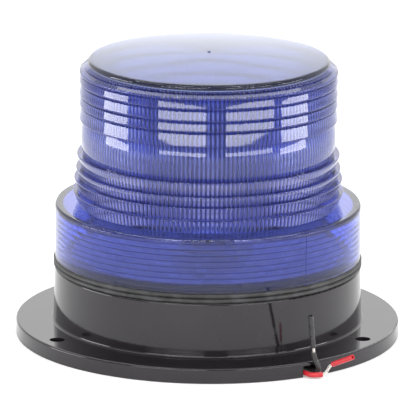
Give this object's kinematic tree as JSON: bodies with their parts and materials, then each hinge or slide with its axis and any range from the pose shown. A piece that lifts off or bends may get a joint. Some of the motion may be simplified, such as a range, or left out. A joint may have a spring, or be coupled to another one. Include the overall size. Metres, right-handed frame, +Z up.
{
  "type": "warning light",
  "caption": "Round surface-mount warning light with a flanged black base, a screw-on blue Fresnel lens over an LED tower, and two flying leads.",
  "frame": {"origin": "centre of the mounting face, at the underside of the flange", "axes": "+Z up through the lens, -Y towards the notch where the leads leave the flange, +X to the right of that notch seen from outside"},
  "size_m": [0.165, 0.1823, 0.1236],
  "materials": {
    "black_housing": "smooth moulded, semi-gloss",
    "blue_lens": "clear blue moulded, polished",
    "black_rubber": "matte rubber",
    "white_reflector": "smooth white",
    "tower_metal": "extruded, bare",
    "cap_plastic": "moulded white",
    "led_board": "white solder mask",
    "led_resin": "moulded clear resin on a pale package",
    "driver_board": "green solder mask",
    "zinc_screws": "zinc plated",
    "capacitor_sleeve": "shrink sleeve",
    "choke_ferrite": "dark ferrite",
    "chip_epoxy": "moulded epoxy",
    "terminal_plastic": "moulded",
    "black_insulation": "extruded wire insulation",
    "red_insulation": "extruded wire insulation",
    "inner_insulation": "extruded wire insulation",
    "tinned_copper": "tinned strands"
  },
  "bodies": {
    "base": {"base_housing": "black_housing", "bottom_cover": "black_housing", "cover_seal": "black_rubber", "lead_grommet": "black_rubber", "reflector_plate": "white_reflector", "led_tower": "tower_metal", "tower_cap": "cap_plastic", "led_board_1": "led_board", "led_board_2": "led_board", "led_board_3": "led_board", "led_board_4": "led_board", "led_board_5": "led_board", "led_board_6": "led_board", "led_1": "led_resin", "led_2": "led_resin", "led_3": "led_resin", "led_4": "led_resin", "led_5": "led_resin", "led_6": "led_resin", "driver_board": "driver_board", "cover_screws": "zinc_screws", "board_screws": "zinc_screws", "tower_screws": "zinc_screws", "storage_capacitor": "capacitor_sleeve", "choke_coil": "choke_ferrite", "switching_transistor": "chip_epoxy", "polarity_diode": "chip_epoxy", "flash_controller": "chip_epoxy", "lead_terminal": "terminal_plastic", "black_lead": "black_insulation", "black_lead_slug": "black_insulation", "red_lead": "red_insulation", "red_lead_slug": "red_insulation", "lead_tails": "inner_insulation", "led_harness": "inner_insulation", "black_lead_strands": "tinned_copper", "red_lead_strands": "tinned_copper"},
    "gasket": {"lens_gasket": "black_rubber"},
    "lens": {"lens": "blue_lens"}
  },
  "joints": [
    {"name": "lens_turn", "type": "hinge", "parent": "base", "child": "gasket", "pos_m": [0, 0, 0.032], "axis": [0, 0, 1], "range_deg": [0, 540]},
    {"name": "lens_lift", "type": "slide", "parent": "gasket", "child": "lens", "axis": [0, 0, 1], "range_m": [0, 0.00376]}
  ],
  "couplings": [
    {"joint": "lens_lift", "follows": "lens_turn", "m_per_rad": 0.00039789}
  ]
}
